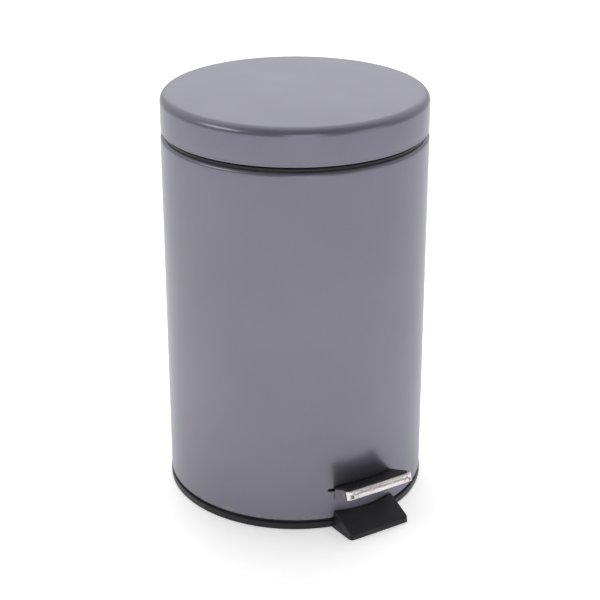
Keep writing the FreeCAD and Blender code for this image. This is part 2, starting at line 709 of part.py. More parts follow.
def crank_bracket():
    """Steel plate behind the lid's rear wall, with a slotted lug that the push rod lifts."""
    outer = LID_R - SHEET - 0.03
    plate = wall_patch(outer - LEAF + 0.03, outer, LUG_OUT, 368, 385.5, 1)
    along = V(0, -math.cos(math.radians(CRANK_ANGLE)), -math.sin(math.radians(CRANK_ANGLE)))
    axis = V(0, HINGE_Y, HINGE_Z)
    near = axis + along * CRANK_ARM
    far = V(0, ROD_Y, CRANK_Z)
    lug_r = CRANK_SLOT_R + CRANK_EDGE
    ends = [rod_x(p.y, p.z, -CRANK_HALF, CRANK_HALF, lug_r) for p in (near, far)]
    across = V(0, along.z, -along.y) * lug_r
    middle = band(near, far, across, CRANK_HALF)
    arm = side_slab([
        (near.y + lug_r - 0.9, near.z + 1, 0), (near.y + lug_r - 0.9, 364, 3), (outer - 0.5, 369, 0),
        (outer - 0.5, 385, 0), (117, 380, 4), (far.y - lug_r, 366, 6), (far.y - lug_r, far.z, 0),
    ], -CRANK_HALF, CRANK_HALF)
    lug = arm.fuse(ends + [middle]).removeSplitter()
    slot = band(near, far, V(0, along.z, -along.y) * CRANK_SLOT_R, 5)
    slot_ends = [rod_x(p.y, p.z, -5, 5, CRANK_SLOT_R) for p in (near, far)]
    bracket = plate.fuse(lug).removeSplitter().cut([slot] + slot_ends)
    return bracket.cut([radial_pin(a, LID_R - 8, LID_R, z, r) for a, z, r in LEAF_RIVETS])


def band(p, q, across, half):
    """A straight plate between two points in the YZ plane, half thick each way in X."""
    corners = [p + across, q + across, q - across, p - across]
    return side_slab([(c.y, c.z, 0) for c in corners], -half, half)


def bucket():
    """Lift-out plastic bucket with a rolled rim and two ears for the bail."""
    w = BUCKET_WALL
    pail = turned([
        (0, BUCKET_LOW + 3, 0), (BUCKET_FOOT_R - 9, BUCKET_LOW + 3, 1.5), (BUCKET_FOOT_R - 7, BUCKET_LOW, 1.0),
        (BUCKET_FOOT_R, BUCKET_LOW, 5), (BUCKET_MOUTH_R, BUCKET_RIM_LOW, 0), (BUCKET_RIM_R, BUCKET_RIM_LOW, 0),
        (BUCKET_RIM_R, BUCKET_RIM_TOP, -0.6), (BUCKET_MOUTH_R - w, BUCKET_RIM_TOP, -0.6),
        (BUCKET_FOOT_R - w, BUCKET_LOW + w, 4), (BUCKET_FOOT_R - 6, BUCKET_LOW + w, 1.0),
        (BUCKET_FOOT_R - 8.4, BUCKET_LOW + 3 + w, 1.5), (0, BUCKET_LOW + 3 + w, 0),
    ])
    rod_room = block(ROD_X - 5, 7, BUCKET_MOUTH_R, 120, 350, 362)
    crank_room = side_slab([(90, 336, 0), (120, 336, 0), (120, 362, 0), (90, 362, 0)], -3.5, 3.5)
    pail = pail.cut([rod_room, crank_room])
    ears = []
    for x in (-EAR_OUT, EAR_IN):
        ear = side_slab([
            (-7, BUCKET_RIM_TOP - 1, 0), (-3.2, BAIL_PIVOT_Z + 3.4, 2.6), (3.2, BAIL_PIVOT_Z + 3.4, 2.6),
            (7, BUCKET_RIM_TOP - 1, 0),
        ], x, x + EAR_OUT - EAR_IN)
        ears.append(ear)
    pail = pail.fuse(ears).removeSplitter()
    return pail.cut(rod_x(0, BAIL_PIVOT_Z, -120, 120, BAIL_WIRE_R + RUNNING_GAP))


def bail_handle():
    """Wire bail with in-turned ends, lying forward on the bucket's rim."""
    lead = math.radians(2.5)
    bend_r = 1.9
    corner = V(BAIL_R / math.cos(lead), 0, 0)
    arc_start = V(BAIL_R * math.cos(lead), -BAIL_R * math.sin(lead), 0)
    inwards = V(-1, 0, 0)
    onwards = (arc_start - corner).normalize()
    half = inwards.getAngle(onwards) / 2
    reach = bend_r / math.tan(half)
    towards = (inwards + onwards).normalize()
    bend_mid = corner + towards * (bend_r / math.sin(half) - bend_r)
    end = V(EAR_IN - 2.2, 0, 0)
    right = [end, corner + inwards * reach, bend_mid, corner + onwards * reach, arc_start]
    left = [V(-p.x, p.y, 0) for p in right]
    edges = [
        Part.LineSegment(right[0], right[1]).toShape(),
        Part.Arc(right[1], right[2], right[3]).toShape(),
        Part.LineSegment(right[3], right[4]).toShape(),
        Part.Arc(right[4], V(0, -BAIL_R, 0), left[4]).toShape(),
        Part.LineSegment(left[4], left[3]).toShape(),
        Part.Arc(left[3], left[2], left[1]).toShape(),
        Part.LineSegment(left[1], left[0]).toShape(),
    ]
    bail = bent_wire(edges, BAIL_WIRE_R)
    drop = BAIL_PIVOT_Z - (BUCKET_RIM_TOP + BAIL_WIRE_R + 0.3)
    bail.rotate(V(0, 0, 0), X_AXIS, math.degrees(math.asin(drop / BAIL_R)))
    bail.translate(V(0, 0, BAIL_PIVOT_Z))
    return bail


PIECES = [
    body_shell, base_ring, base_pan, base_screws, anti_tip_foot, foot_screws, pedal_tray, pedal_pad,
    lever_arm, lever_rivets, pivot_bracket, bracket_rivets, pivot_pin, pin_washer, push_rod, rod_washers,
    rod_guide, guide_rivets, rim_collar, lid_shell, lid_liner, lid_bumpers, hinge_bracket, hinge_leaf,
    hinge_pin, hinge_rivets, leaf_rivets, crank_bracket, bucket, bail_handle,
]

os.makedirs("parts", exist_ok=True)
for piece in PIECES:
    shape = piece()
    shape.exportStep("parts/" + piece.__name__ + ".step")
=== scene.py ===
import json
import math

import bmesh
import bpy
from mathutils import Matrix, Vector


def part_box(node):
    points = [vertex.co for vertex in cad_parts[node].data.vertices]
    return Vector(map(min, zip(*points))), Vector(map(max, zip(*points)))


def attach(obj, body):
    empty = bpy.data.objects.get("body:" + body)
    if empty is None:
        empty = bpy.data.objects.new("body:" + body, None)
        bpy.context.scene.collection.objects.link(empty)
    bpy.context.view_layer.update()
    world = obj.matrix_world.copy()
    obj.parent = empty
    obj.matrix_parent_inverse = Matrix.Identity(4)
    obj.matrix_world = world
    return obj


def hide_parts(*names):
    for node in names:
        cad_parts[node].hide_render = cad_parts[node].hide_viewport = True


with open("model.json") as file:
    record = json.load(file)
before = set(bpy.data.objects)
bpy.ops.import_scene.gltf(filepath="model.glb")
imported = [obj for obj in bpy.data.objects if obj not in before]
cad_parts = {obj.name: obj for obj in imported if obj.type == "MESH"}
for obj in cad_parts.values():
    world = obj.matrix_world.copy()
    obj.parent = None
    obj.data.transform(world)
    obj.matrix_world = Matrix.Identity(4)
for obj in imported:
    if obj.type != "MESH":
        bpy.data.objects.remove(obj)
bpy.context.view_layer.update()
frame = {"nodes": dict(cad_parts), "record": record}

MM = 0.001
NODES = frame["nodes"]


# ---------------------------------------------------------------- camera and light

CAMERA_AZIMUTH = math.radians(-31.9)
CAMERA_DISTANCE = 1.4036
CAMERA_HEIGHT = 0.7923
CAMERA_PITCH = math.radians(23.478)
CAMERA_YAW = 0.0033
SENSOR_MM = 36.0
LENS_MM = 94.26

FLOOR_HALF = 9.0
FLOOR_DROP = 0.0002
BACKDROP_R = 8.8
BACKDROP_HIGH = 9.0
BACKDROP_LOW = -0.01
BACKDROP_SIDES = 64

# How the studio's strength changes with direction and with height: from two values, to two strengths.
STUDIO_TURN = (-0.45, 0.90, 0.15, 0.82)
STUDIO_RISE = (0.30, 0.80, 1.0, 1.25)


def add_camera():
    """The camera stands to the left of the pedal and looks down at the can's axis."""
    data = bpy.data.cameras.new("camera")
    data.sensor_width = SENSOR_MM
    data.lens = LENS_MM
    camera = bpy.data.objects.new("camera", data)
    bpy.context.scene.collection.objects.link(camera)
    turn = Matrix.Rotation(CAMERA_AZIMUTH, 3, "Z")
    forward = turn @ Vector((
        math.sin(CAMERA_YAW) * math.cos(CAMERA_PITCH),
        math.cos(CAMERA_YAW) * math.cos(CAMERA_PITCH),
        -math.sin(CAMERA_PITCH),
    ))
    camera.location = turn @ Vector((0, -CAMERA_DISTANCE, CAMERA_HEIGHT))
    camera.rotation_euler = forward.to_track_quat("-Z", "Y").to_euler()
    bpy.context.scene.camera = camera


def add_softbox(name, azimuth, distance, height, size, watts, aim_z=0.2):
    """A rectangular area light that faces the can: azimuth in degrees, measured like the camera's."""
    data = bpy.data.lights.new(name, "AREA")
    data.shape = "RECTANGLE"
    data.size, data.size_y = size
    data.energy = watts
    light = bpy.data.objects.new(name, data)
    bpy.context.scene.collection.objects.link(light)
    angle = math.radians(azimuth)
    light.location = (distance * math.sin(angle), -distance * math.cos(angle), height)
    aim = Vector((0, 0, aim_z)) - light.location
    light.rotation_euler = aim.to_track_quat("-Z", "Y").to_euler()
    return light


def add_stage():
    """Pale floor, just below the can's feet, with the backdrop, the studio and five soft lights."""
    mesh = bpy.data.meshes.new("floor")
    half = FLOOR_HALF
    corners = [(-half, -half, 0), (half, -half, 0), (half, half, 0), (-half, half, 0)]
    mesh.from_pydata(corners, [], [(0, 1, 2, 3)])
    floor = bpy.data.objects.new("floor", mesh)
    bpy.context.scene.collection.objects.link(floor)
    floor.location.z = -FLOOR_DROP
    mesh.materials.append(floor_material())
    add_backdrop()
    add_world()
    overhead = add_softbox("top_light", 148, 0.55, 2.0, (1.5, 1.5), 24)
    overhead.visible_glossy = False
    add_softbox("back_light", 148, 3.2, 1.5, (3.4, 1.0), 7)
    add_softbox("left_light", -100, 2.2, 1.6, (1.3, 0.35), 9, aim_z=0.38)
    add_softbox("fill_light", -24, 2.6, 0.9, (1.3, 1.3), 8)
    add_softbox("front_light", 30, 2.3, 0.72, (1.3, 0.7), 2.9)


def add_backdrop():
    """Pale wall far round the floor, which is only seen and neither lights nor shades the can."""
    sides = BACKDROP_SIDES
    turns = [2 * math.pi * k / sides for k in range(sides)]
    ring = [(BACKDROP_R * math.cos(turn), BACKDROP_R * math.sin(turn)) for turn in turns]
    points = [(x, y, z) for z in (BACKDROP_LOW, BACKDROP_HIGH) for x, y in ring]
    faces = [(k, (k + 1) % sides, sides + (k + 1) % sides, sides + k) for k in range(sides)]
    mesh = bpy.data.meshes.new("backdrop")
    mesh.from_pydata(points, [], faces)
    wall = bpy.data.objects.new("backdrop", mesh)
    bpy.context.scene.collection.objects.link(wall)
    wall.visible_diffuse = wall.visible_glossy = wall.visible_transmission = wall.visible_shadow = False
    s = Shader("backdrop_paper", (0.0, 0.0, 0.0), 1.0, Specular_IOR_Level=0.0)
    s.surface.inputs["Emission Color"].default_value = (1, 1, 1, 1)
    s.surface.inputs["Emission Strength"].default_value = 0.93
    mesh.materials.append(s.material)


def add_world():
    """A studio that is bright behind the can, a little brighter overhead, and dim in front of it."""
    world = bpy.data.worlds.new("studio")
    world.use_nodes = True
    nodes = world.node_tree.nodes
    links = world.node_tree.links
    place = nodes.new("ShaderNodeTexCoord")
    away = nodes.new("ShaderNodeVectorMath")
    away.operation = "DOT_PRODUCT"
    away.inputs[1].default_value = (math.sin(-CAMERA_AZIMUTH), math.cos(CAMERA_AZIMUTH), 0.0)
    shade = nodes.new("ShaderNodeMapRange")
    shade.interpolation_type = "SMOOTHSTEP"
    for socket, value in zip(list(shade.inputs)[1:5], STUDIO_TURN):
        socket.default_value = value
    rise = nodes.new("ShaderNodeSeparateXYZ")
    lift = nodes.new("ShaderNodeMapRange")
    for socket, value in zip(list(lift.inputs)[1:5], STUDIO_RISE):
        socket.default_value = value
    both = nodes.new("ShaderNodeMath")
    both.operation = "MULTIPLY"
    links.new(place.outputs["Generated"], away.inputs[0])
    links.new(place.outputs["Generated"], rise.inputs[0])
    links.new(rise.outputs["Z"], lift.inputs["Value"])
    links.new(away.outputs["Value"], shade.inputs["Value"])
    links.new(shade.outputs["Result"], both.inputs[0])
    links.new(lift.outputs["Result"], both.inputs[1])
    links.new(both.outputs["Value"], nodes["Background"].inputs["Strength"])
    nodes["Background"].inputs["Color"].default_value = (1.0, 1.0, 1.0, 1)
    bpy.context.scene.world = world


# ---------------------------------------------------------------- materials

class Shader:
    """A short way to write a Principled material with procedural nodes."""

    def __init__(self, name, color, roughness, metallic=0.0, **sockets):
        self.material = bpy.data.materials.new(name)
        self.material.use_nodes = True
        self.tree = self.material.node_tree
        self.surface = self.tree.nodes["Principled BSDF"]
        self.surface.inputs["Base Color"].default_value = (*color, 1)
        self.surface.inputs["Roughness"].default_value = roughness
        self.surface.inputs["Metallic"].default_value = metallic
        for socket, value in sockets.items():
            self.surface.inputs[socket.replace("_", " ")].default_value = value
        self.place = self.tree.nodes.new("ShaderNodeTexCoord").outputs["Object"]

    def node(self, kind, **values):
        node = self.tree.nodes.new("ShaderNode" + kind)
        for key, value in values.items():
            if hasattr(node, key):
                setattr(node, key, value)
            else:
                node.inputs[key].default_value = value
        return node

    def link(self, a, b):
        self.tree.links.new(a, b)

    def noise(self, scale, detail=3.0, roughness=0.5, stretch=(1, 1, 1)):
        """Noise in metres; stretch squeezes it along an axis, for brushed or drawn grain."""
        mapping = self.node("Mapping")
        mapping.inputs["Scale"].default_value = stretch
        self.link(self.place, mapping.inputs["Vector"])
        noise = self.node("TexNoise", Scale=scale, Detail=detail, Roughness=roughness)
        self.link(mapping.outputs["Vector"], noise.inputs["Vector"])
        return noise.outputs["Fac"]

    def cells(self, scale):
        """Distance from the middle of rounded cells."""
        cells = self.node("TexVoronoi", Scale=scale, feature="SMOOTH_F1")
        self.link(self.place, cells.inputs["Vector"])
        return cells.outputs["Distance"]

    def between(self, value, low, high, to_low, to_high):
        """The value's range from low to high, stretched to the range from to_low to to_high."""
        span = self.node("MapRange")
        self.link(value, span.inputs["Value"])
        ends = {"From Min": low, "From Max": high, "To Min": to_low, "To Max": to_high}
        for key, number in ends.items():
            span.inputs[key].default_value = number
        return span.outputs["Result"]

    def mix(self, factor, first, second):
        """Blends two colours, or a colour socket and a colour."""
        mix = self.node("Mix", data_type="RGBA")
        self.link(factor, mix.inputs["Factor"])
        # The node has a socket of each name for every data type: 6, 7 and 2 are its colour ones.
        for socket, value in ((mix.inputs[6], first), (mix.inputs[7], second)):
            if isinstance(value, tuple):
                socket.default_value = (*value, 1)
            else:
                self.link(value, socket)
        return mix.outputs[2]

    def color(self, socket):
        self.link(socket, self.surface.inputs["Base Color"])

    def roughness(self, socket):
        self.link(socket, self.surface.inputs["Roughness"])

    def bump(self, height, depth_mm, after=None):
        """Adds relief of that depth. Returns the normal, so that a second layer can sit on it."""
        bump = self.node("Bump", Distance=depth_mm * MM, Strength=1.0)
        self.link(height, bump.inputs["Height"])
        if after is not None:
            self.link(after, bump.inputs["Normal"])
        self.link(bump.outputs["Normal"], self.surface.inputs["Normal"])
        return bump.outputs["Normal"]

    def worn_edges(self, radius_mm):
        """The normal of the surface as if its edges had been rounded off."""
        edge = self.node("Bevel", samples=6, Radius=radius_mm * MM)
        return edge.outputs["Normal"]

    def height(self):
        """Metres above the floor."""
        split = self.node("SeparateXYZ")
        self.link(self.place, split.inputs[0])
        return split.outputs["Z"]


def floor_material():
    """Matt white paper with a faint glow, so that it stays pale under the soft lights."""
    s = Shader("floor_paper", (0.92, 0.92, 0.92), 0.75)
    s.surface.inputs["Emission Color"].default_value = (1, 1, 1, 1)
    s.surface.inputs["Emission Strength"].default_value = 0.42
    s.bump(s.noise(400, 4), 0.05)
    return s.material


def paint_material():
    """Satin violet-grey powder coat on drawn steel: orange peel, faint mottling, rubbed lower edge."""
    s = Shader(
        "grey_paint", (0.193, 0.189, 0.234), 0.30,
        metallic=0.56, Coat_Weight=0.20, Coat_Roughness=0.14,
    )
    s.surface.inputs["Specular Tint"].default_value = (0.66, 0.66, 0.70, 1)
    mottle = s.between(s.noise(9, 4), 0.35, 0.65, 0.0, 1.0)
    base = s.mix(mottle, (0.187, 0.183, 0.228), (0.201, 0.197, 0.243))
    speckle = s.between(s.noise(900, 3), 0.40, 0.72, 0.0, 0.22)
    base = s.mix(speckle, base, (0.235, 0.231, 0.280))
    rubbed = s.node("Math", operation="MULTIPLY")
    s.link(s.between(s.height(), 0.016, 0.010, 0.0, 1.0), rubbed.inputs[0])
    s.link(s.between(s.noise(150, 5, 0.6), 0.52, 0.66, 0.0, 0.5), rubbed.inputs[1])
    s.color(s.mix(rubbed.outputs[0], base, (0.36, 0.35, 0.38)))
    smear = s.noise(14, 5, 0.55, (1, 1, 0.35))
    s.roughness(s.between(smear, 0.3, 0.7, 0.285, 0.34))
    s.bump(s.noise(260, 2), 0.004)
    return s.material


def black_plastic_material(name, color, roughness, grain_mm=0.02, grain_scale=900):
    """Black moulded or coated surface with a fine grain, scuffs and softened edges."""
    s = Shader(name, color, roughness, Specular_IOR_Level=0.34)
    light = tuple(c * 1.7 + 0.004 for c in color)
    scuff = s.between(s.noise(45, 6, 0.65), 0.55, 0.75, 0.0, 0.5)
    s.color(s.mix(scuff, color, light))
    s.roughness(s.between(s.noise(60, 4), 0.3, 0.7, roughness - 0.06, roughness + 0.10))
    s.bump(s.noise(grain_scale, 3), grain_mm, after=s.worn_edges(1.5))
    return s.material


def tread_material():
    """Pebbled tread: small rounded cells in dark plastic, polished on top; its colour is painted light
    and shade, darker in the gaps between the cells and lighter on their tops.
    """
    s = Shader("tread_pad", (0.020, 0.020, 0.023), 0.5, Specular_IOR_Level=0.35)
    pebbles = s.cells(700)
    top = s.between(pebbles, 0.15, 0.55, 1.0, 0.0)
    # Painted light and shade: the gaps between the pebbles are painted darker and their tops lighter.
    s.color(s.mix(top, (0.009, 0.009, 0.011), (0.034, 0.034, 0.038)))
    s.roughness(s.between(pebbles, 0.1, 0.6, 0.38, 0.62))
    s.bump(top, 0.14)
    return s.material


def steel_material(name, color, roughness, stretch=(1, 1, 1)):
    """Plated steel with drawn grain and small stains."""
    s = Shader(name, color, roughness, metallic=1.0)
    stain = s.between(s.noise(30, 5, 0.6), 0.35, 0.7, 0.0, 0.7)
    s.color(s.mix(stain, color, tuple(c * 0.72 for c in color)))
    grain = s.noise(900, 3, 0.6, stretch)
    s.roughness(s.between(grain, 0.3, 0.7, roughness - 0.07, roughness + 0.12))
    s.bump(grain, 0.006)
    return s.material


def chrome_material():
    """Bright plate over pressed steel: ripples from pressing and fine scratches."""
    s = Shader("chromed_steel", (0.86, 0.85, 0.84), 0.14, metallic=1.0)
    haze = s.between(s.noise(55, 5, 0.6), 0.35, 0.7, 0.0, 0.5)
    s.color(s.mix(haze, (0.80, 0.755, 0.76), (0.58, 0.535, 0.535)))
    s.roughness(s.between(s.noise(160, 4), 0.3, 0.75, 0.12, 0.26))
    ripple = s.bump(s.noise(130, 2, 0.5, (1, 1, 0.4)), 0.11)
    s.bump(s.noise(900, 3, 0.6, (1, 1, 4)), 0.004, after=ripple)
    return s.material


MATERIALS = {
    "grey_paint": paint_material(),
    "black_plastic": black_plastic_material("black_plastic", (0.0125, 0.0125, 0.0165), 0.38),
    "tread_pad": tread_material(),
    "bumper_rubber": black_plastic_material("bumper_rubber", (0.02, 0.02, 0.02), 0.75, 0.03),
    "bucket_plastic": black_plastic_material("bucket_plastic", (0.030, 0.030, 0.033), 0.48, 0.03, 500),
    "zinc_steel": steel_material("zinc_steel", (0.60, 0.61, 0.63), 0.36, (6, 1, 1)),
    "screw_steel": steel_material("screw_steel", (0.52, 0.52, 0.53), 0.36),
    "chromed_steel": chrome_material(),
    "hinge_steel": black_plastic_material("hinge_steel", (0.024, 0.024, 0.027), 0.36, 0.008, 600),
}


# ---------------------------------------------------------------- pieces

def new_piece(name, mesh, node, body, slot):
    """A finished piece that stands for a CAD node, rides on its body and takes its slot's material."""
    for face in mesh.polygons:
        face.use_smooth = True
    mesh.materials.append(MATERIALS[slot])
    piece = bpy.data.objects.new(name, mesh)
    bpy.context.scene.collection.objects.link(piece)
    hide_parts(node)
    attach(piece, body)
    return piece


def mesh_from(name, points_mm, faces):
    """A clean mesh from points in millimetres: doubled points merged and normals outwards."""
    mesh = bpy.data.meshes.new(name)
    work = bmesh.new()
    verts = [work.verts.new(Vector(p) * MM) for p in points_mm]
    for face in faces:
        if len(set(face)) > 2:
            work.faces.new([verts[i] for i in dict.fromkeys(face)])
    bmesh.ops.remove_doubles(work, verts=work.verts, dist=2e-6)
    bmesh.ops.dissolve_degenerate(work, edges=work.edges, dist=1e-6)
    bmesh.ops.recalc_face_normals(work, faces=work.faces)
    work.to_mesh(mesh)
    work.free()
    return mesh


def arc(cx, cy, radius, start, end, steps):
    """Points along an arc, with its ends, in degrees."""
    angles = [math.radians(start + (end - start) * k / steps) for k in range(steps + 1)]
    return [(cx + radius * math.cos(a), cy + radius * math.sin(a)) for a in angles]


def lathe(profile, angles, drop=None, dent=None):
    """Points and faces of a profile of (radius, z) turned through the angles, all the way round.

    drop(x, y, z) leaves a face out, and dent(x, y, z) gives how far a point moves inwards.
    """
    points = []
    for radius, z in profile:
        for angle in angles:
            x, y = math.cos(angle), math.sin(angle)
            r = radius - (dent(x * radius, y * radius, z) if dent else 0)
            points.append((x * r, y * r, z))
    count = len(angles)
    faces = []
    for row in range(len(profile) - 1):
        for k in range(count):
            face = [row * count + k, row * count + (k + 1) % count]
            face += [face[1] + count, face[0] + count]
            middle = [sum(points[i][axis] for i in face) / 4 for axis in range(3)]
            if not (drop and drop(*middle)):
                faces.append(face)
    return points, faces


def add_thickness(piece, thickness_mm):
    solid = piece.modifiers.new("sheet", "SOLIDIFY")
    solid.thickness = thickness_mm * MM
    solid.offset = -1.0
    solid.use_even_offset = True


BODY_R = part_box("body_shell")[1][0] / MM
BODY_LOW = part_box("body_shell")[0][2] / MM
BODY_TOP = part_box("body_shell")[1][2] / MM
BODY_ROUND = 4.0
BODY_HEM = 1.2
RIM_INNER_R = 120.7
FLANGE_INNER_R = 113.0
FLANGE_MID_R = 118.0
SHEET = 0.6

# The pedal's two openings at the front: half width, lower edge and upper edge.
WINDOW = (31.6, 30.0, 42.9)
SLIT = (38.0, 38.7, 41.4)
OPENING_CORNER = 1.3
CORNER_STEPS = (0.0, 0.12, 0.38, 0.8, 1.3)

# The rod's notch through the shoulder at the rear: its sides, its lowest height, and how far inside the
# wall's face it begins.
NOTCH_SIDES = (-16.2, 6.2)
NOTCH_LOW = 340.0
NOTCH_SKIN = 1.2

# The lock seam down the rear wall, and the places of its edges and of the points that round them.
SEAM_HALF = 0.4
SEAM_DEPTH = 0.3
SEAM_LOW = BODY_LOW + 4
SEAM_TOP = 318.0
SEAM_EDGES = (-0.7, -0.35, 0.35, 0.7)


def in_opening(x, z, half, low, top):
    """True inside a rounded slot that is centred on the can."""
    across = max(abs(x) - (half - OPENING_CORNER), 0)
    up = max(z - (top - OPENING_CORNER), (low + OPENING_CORNER) - z, 0)
    return math.hypot(across, up) < OPENING_CORNER and abs(x) < half and low < z < top


def body_hole(x, y, z):
    """True inside the openings at the front and the notch at the rear."""
    if y < 0:
        return in_opening(x, z, *WINDOW) or in_opening(x, z, *SLIT)
    return NOTCH_SIDES[0] < x < NOTCH_SIDES[1] and y < BODY_R - NOTCH_SKIN and z > NOTCH_LOW


def body_dent(x, y, z):
    """How far the lock seam sinks into the rear wall."""
    if y > 0 and abs(x) < SEAM_HALF and SEAM_LOW < z < SEAM_TOP:
        return SEAM_DEPTH
    return 0.0


def add_body():
    """Painted body: rolled lower edge, round shoulder, seam, rod's notch, openings for the pedal."""
    angles = {2 * math.pi * k / 256 for k in range(256)}
    for half, _, _ in (WINDOW, SLIT):
        for step in CORNER_STEPS:
            for x in (half - step, step - half):
                angles.add(math.atan2(-math.sqrt(BODY_R ** 2 - x * x), x) % (2 * math.pi))
    for x in NOTCH_SIDES + SEAM_EDGES:
        angles.add(math.acos(x / BODY_R))
    angles = spaced(sorted(angles), 0.0008)
    heights = {SEAM_LOW, SEAM_TOP, NOTCH_LOW}
    for _, low, top in (WINDOW, SLIT):
        heights |= {low + step for step in CORNER_STEPS} | {top - step for step in CORNER_STEPS}
    low, high = BODY_LOW + BODY_HEM, BODY_TOP - BODY_ROUND
    heights |= {low + (high - low) * k / 40 for k in range(1, 40)}
    wall = [(BODY_R, z) for z in spaced(sorted(heights), 0.1)]
    profile = [(FLANGE_INNER_R, BODY_LOW), (FLANGE_MID_R, BODY_LOW)]
    profile += arc(BODY_R - BODY_HEM, BODY_LOW + BODY_HEM, BODY_HEM, -90, 0, 6) + wall
    profile += arc(BODY_R - BODY_ROUND, BODY_TOP - BODY_ROUND, BODY_ROUND, 0, 90, 12)
    profile.append((RIM_INNER_R, BODY_TOP))
    mesh = mesh_from("body_wall", *lathe(profile, angles, body_hole, body_dent))
    piece = new_piece("body_wall", mesh, "body_shell", "can", "grey_paint")
    add_thickness(piece, SHEET)


def spaced(values, least):
    """Sorted values with near repeats left out."""
    kept = [values[0]]
    for value in values[1:]:
        if value - kept[-1] > least:
            kept.append(value)
    return kept


LID_R = 124.7
LID_LOW = 359.8
LID_ROUND = 8.0
LID_DOME = 0.7
LID_HEM = 1.1
LID_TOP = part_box("lid_shell")[1][2] / MM

# Radii of the top's rows, and the side's rows down to the hem: distance inside LID_R, and height.
LID_RINGS = (0, 12, 30, 50, 70, 88, 102, 112)
LID_SIDE = ((0, 380.0), (0, 370.0), (0, 364.2), (0.16, 362.8), (0.02, 361.5))


def add_lid():
    """Painted lid: slightly domed top, round shoulder, and a hem rolled inwards round the lower edge."""
    shoulder = LID_R - LID_ROUND
    top = [(r, LID_TOP - LID_DOME * (r / shoulder) ** 2) for r in LID_RINGS]
    outer = arc(shoulder, LID_TOP - LID_ROUND - LID_DOME, LID_ROUND, 90, 0, 14)
    side = [(LID_R - inset, z) for inset, z in LID_SIDE]
    hem = arc(LID_R - LID_HEM, LID_LOW + LID_HEM, LID_HEM, 0, -180, 8)
    inner = [(LID_R - 2 * LID_HEM, LID_LOW + 1.3), (LID_R - SHEET, LID_LOW + 1.4)]
    inner.append((LID_R - SHEET, LID_SIDE[0][1]))
    inner += arc(shoulder, LID_TOP - LID_ROUND - LID_DOME, LID_ROUND - SHEET, 0, 90, 10)
    inner += [(r, z - SHEET) for r, z in reversed(top)]
    angles = [2 * math.pi * k / 288 for k in range(288)]
    mesh = mesh_from("lid_cap", *lathe(top + outer + side + hem + inner, angles))
    new_piece("lid_cap", mesh, "lid_shell", "lid", "grey_paint")


PEDAL_TILT = math.radians(22.2)
PEDAL_ROOT = (120.5, 41.1)
PEDAL_WALL_R = BODY_R + 0.6
OUTLINE_STEP = 0.8
BEND_STEPS = 12

TRAY_STEEL = 1.2
TRAY_FOLD = 1.2
TRAY_INSET = 0.24
TRAY_MIDDLE = Vector((0, -10))
TRAY_CORNERS = (
    (-33.5, -1.2, 0), (-33.5, -20.2, 8), (-37.1, -27.2, 4.5), (-34.9, -32.2, 4.5), (0, -33.2, 0),
)

# The skirt's lower edge slopes up towards the front, and the steel ends a little above it.
FLANGE_ROOT_Z = 29.2
FLANGE_SLOPE = 0.49
FLANGE_CLEAR = 0.15
FOLD_ROWS = 5
SKIRT_ROWS = 10
SKIRT_HOLLOW = 0.30
BUCKLE_DEPTH = 0.42
BUCKLE_REACH = 13.0
BUCKLE_WAVE = 5.2
BACK_SHIFT = 2.8
BACK_REACH = 15.0
PLATE_STEPS = 24
PLATE_REACH = 12.0


def on_tread(x, y, z):
    """A point of the sloping tread, whose y runs outwards below zero and whose z stands off it."""
    c, s = math.cos(PEDAL_TILT), math.sin(PEDAL_TILT)
    return x, -PEDAL_ROOT[0] + y * c + z * s, PEDAL_ROOT[1] - y * s + z * c


def wall_on_tread(x):
    """Where the tread meets the can's wall."""
    return (PEDAL_ROOT[0] - math.sqrt(PEDAL_WALL_R ** 2 - x * x)) / math.cos(PEDAL_TILT)


def rounded(corners):
    """An open outline in even steps through (x, y, radius) corners, each turned into a soft bend."""
    path = [Vector(corners[0][:2])]
    for before, corner, after in zip(corners, corners[1:], corners[2:]):
        here = Vector(corner[:2])
        back = (Vector(before[:2]) - here).normalized()
        ahead = (Vector(after[:2]) - here).normalized()
        turn = back.angle(ahead)
        reach = corner[2] / math.tan(turn / 2)
        start, end = here + back * reach, here + ahead * reach
        for k in range(BEND_STEPS + 1):
            t = k / BEND_STEPS
            path.append(start * (1 - t) ** 2 + here * (2 * t * (1 - t)) + end * t * t)
    path.append(Vector(corners[-1][:2]))
    even = [path[0]]
    for a, b in zip(path, path[1:]):
        steps = max(1, round((b - a).length / OUTLINE_STEP))
        even += [a.lerp(b, k / steps) for k in range(1, steps + 1) if (b - a).length > 1e-4]
    return even


def outward(path, k):
    """The direction square to the tray's outline at a point, away from its middle."""
    along = path[min(k + 1, len(path) - 1)] - path[max(k - 1, 0)]
    side = Vector((along.y, -along.x)).normalized()
    return side if side.dot(path[k] - TRAY_MIDDLE) > 0 else -side


def mirrored(half_path):
    """The whole outline from its left half, which ends on the middle line."""
    return half_path + [Vector((-p.x, p.y)) for p in reversed(half_path[:-1])]


def flange_depth(y):
    """Height of the tray's skirt, from the tread down to its sloping lower edge."""
    _, out, up = on_tread(0, y, 0)
    gap = up - FLANGE_ROOT_Z - FLANGE_SLOPE * (-out - PEDAL_ROOT[0])
    return gap / (math.cos(PEDAL_TILT) + FLANGE_SLOPE * math.sin(PEDAL_TILT)) - FLANGE_CLEAR


